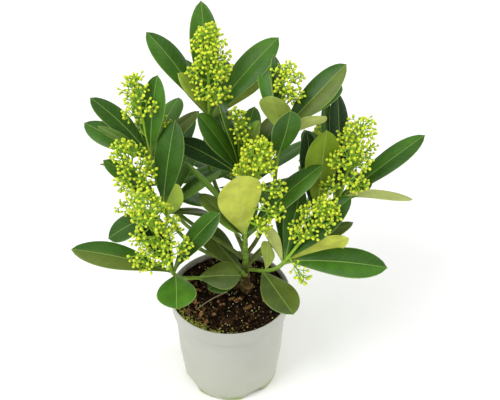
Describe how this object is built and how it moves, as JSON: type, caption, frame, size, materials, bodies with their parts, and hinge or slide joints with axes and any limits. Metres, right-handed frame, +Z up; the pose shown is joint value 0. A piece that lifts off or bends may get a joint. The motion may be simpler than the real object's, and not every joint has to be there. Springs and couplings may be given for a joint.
{
  "type": "potted skimmia shrub",
  "caption": "Evergreen shrub with upright flower heads over whorls of pointed leaves, standing in a tapered round nursery pot filled with soil.",
  "frame": {"origin": "centre of the pot's flat underside", "axes": "+Z up along the pot's axis, +X to the right as seen from the front, +Y to the back"},
  "size_m": [0.335, 0.2537, 0.3725],
  "materials": {
    "pot": "light grey moulded plastic, smooth and slightly matt",
    "soil": "dark potting mix with bark chips, damp and rough",
    "bark": "brown young bark with fine ridges and scars",
    "green_bark": "smooth green bark",
    "foliage": "leathery dark green leaves and yellow-green flower buds"
  },
  "bodies": {
    "root": {"pot": "pot", "soil": "soil", "main_stem": "bark", "bough_back": "green_bark", "bough_back_left": "green_bark", "bough_back_right": "green_bark", "bough_centre": "green_bark", "bough_low_left": "green_bark", "bough_mid_left": "green_bark", "bough_right": "green_bark", "bough_top": "green_bark", "bough_upper_left": "green_bark", "bough_upper_right": "green_bark", "shoot_back": "foliage", "shoot_back_left": "foliage", "shoot_back_right": "foliage", "shoot_centre": "foliage", "shoot_foot": "foliage", "shoot_front": "foliage", "shoot_low_left": "foliage", "shoot_low_right": "foliage", "shoot_mid_left": "foliage", "shoot_right": "foliage", "shoot_top": "foliage", "shoot_upper_left": "foliage", "shoot_upper_right": "foliage"}
  },
  "joints": []
}
